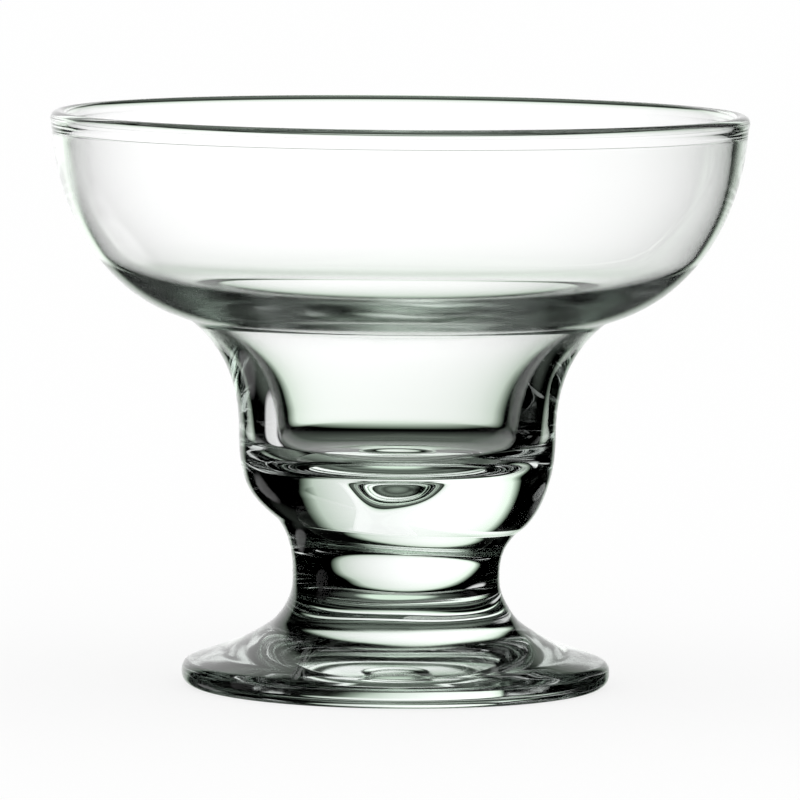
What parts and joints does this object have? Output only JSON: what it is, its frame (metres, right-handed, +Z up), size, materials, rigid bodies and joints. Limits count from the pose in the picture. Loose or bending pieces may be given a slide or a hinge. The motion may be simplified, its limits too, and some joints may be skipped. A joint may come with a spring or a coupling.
{
  "type": "parfait glass",
  "caption": "Clear footed parfait glass: a wide round bowl over a narrower deep well, a short solid waist and a round foot that rests on a flat ring.",
  "frame": {"origin": "centre of the ring under the foot, on the surface that the glass stands on", "axes": "+Z up along the axis of the glass, from the foot to the rim; X and Y are alike, because the glass is round"},
  "size_m": [0.11, 0.11, 0.0905],
  "materials": {
    "glass": "clear soda-lime glass, pressed and fire-polished, with a faint green tint where it is thick"
  },
  "bodies": {
    "root": {"bowl": "glass", "stem": "glass", "foot": "glass"}
  },
  "joints": []
}
